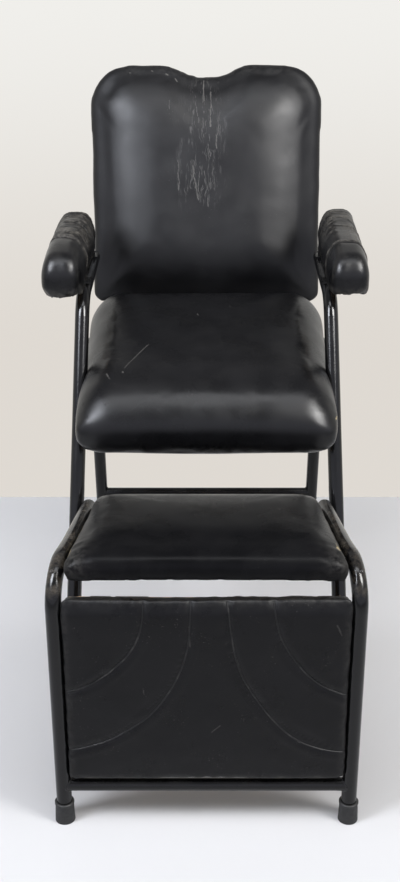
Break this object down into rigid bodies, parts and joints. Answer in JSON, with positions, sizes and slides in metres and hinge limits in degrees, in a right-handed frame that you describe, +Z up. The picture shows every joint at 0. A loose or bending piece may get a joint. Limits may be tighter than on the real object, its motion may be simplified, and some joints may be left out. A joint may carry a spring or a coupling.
{
  "type": "threading chair",
  "caption": "Reclining salon chair on bent steel tubes: padded seat, arm pads, back with a neck dip, and a hinged padded leg rest with an upright front panel.",
  "frame": {"origin": "on the floor, under the middle of the chair's bounding box", "axes": "+Z up, the sitter faces -Y, +X to the right seen from the front"},
  "size_m": [0.5692, 0.9612, 1.083],
  "materials": {
    "tube_paint": "gloss black",
    "vinyl": "black vinyl coated cloth, worn",
    "board": "plywood",
    "rubber": "matt black",
    "plug": "black",
    "zinc": "zinc plated"
  },
  "bodies": {
    "chair_frame": {"left_front_leg_and_arm": "tube_paint", "right_front_leg_and_arm": "tube_paint", "left_front_foot": "rubber", "right_front_foot": "rubber", "arm_tube_plugs": "plug", "left_rear_leg_and_rail": "tube_paint", "right_rear_leg_and_rail": "tube_paint", "left_rear_foot": "rubber", "right_rear_foot": "rubber", "front_seat_bar": "tube_paint", "rear_seat_bar": "tube_paint", "rear_stretcher": "tube_paint", "leg_rest_hinge_bar": "tube_paint", "rear_seat_strap": "tube_paint", "seat_board": "board", "seat_cushion": "vinyl", "seat_screws": "zinc", "left_arm_pad": "vinyl", "right_arm_pad": "vinyl", "left_arm_board": "board", "right_arm_board": "board", "left_arm_brackets": "tube_paint", "right_arm_brackets": "tube_paint", "left_arm_screws": "zinc", "right_arm_screws": "zinc", "left_recline_plate": "tube_paint", "right_recline_plate": "tube_paint", "pivot_bolts": "zinc", "pivot_nuts": "zinc", "pivot_spacers": "zinc"},
    "backrest": {"back_cushion": "vinyl", "back_board": "board", "back_rear_cover": "vinyl", "back_frame_hoop": "tube_paint", "back_frame_brace": "tube_paint", "back_frame_plugs": "plug", "back_bolts": "zinc", "left_hinge_plate": "tube_paint", "right_hinge_plate": "tube_paint", "clamp_studs": "zinc", "clamp_washers": "zinc"},
    "left_knob": {"left_clamp_knob": "plug"},
    "right_knob": {"right_clamp_knob": "plug"},
    "leg_rest": {"left_leg_rest_tube": "tube_paint", "right_leg_rest_tube": "tube_paint", "left_leg_rest_foot": "rubber", "right_leg_rest_foot": "rubber", "leg_rest_plugs": "plug", "leg_rest_lower_bar": "tube_paint", "leg_rest_straps": "tube_paint", "leg_rest_board": "board", "leg_rest_pad": "vinyl", "leg_rest_screws": "zinc", "left_hinge_hook": "tube_paint", "right_hinge_hook": "tube_paint", "front_panel_pad": "vinyl", "front_panel_board": "board", "front_panel_tabs": "tube_paint", "front_panel_screws": "zinc"}
  },
  "joints": [
    {"name": "back_recline", "type": "hinge", "parent": "chair_frame", "child": "backrest", "pos_m": [0, 0.34661, 0.592], "axis": [-1, 0, 0], "range_deg": [0, 45]},
    {"name": "leg_rest_lift", "type": "hinge", "parent": "chair_frame", "child": "leg_rest", "pos_m": [0, -0.13347, 0.40571], "axis": [-1, 0, 0], "range_deg": [0, 35]},
    {"name": "left_knob_turn", "type": "hinge", "parent": "backrest", "child": "left_knob", "pos_m": [-0.2, 0.39974, 0.57776], "axis": [-1, 0, 0], "range_deg": [0, 360]},
    {"name": "right_knob_turn", "type": "hinge", "parent": "backrest", "child": "right_knob", "pos_m": [0.2, 0.39974, 0.57776], "axis": [1, 0, 0], "range_deg": [0, 360]}
  ]
}
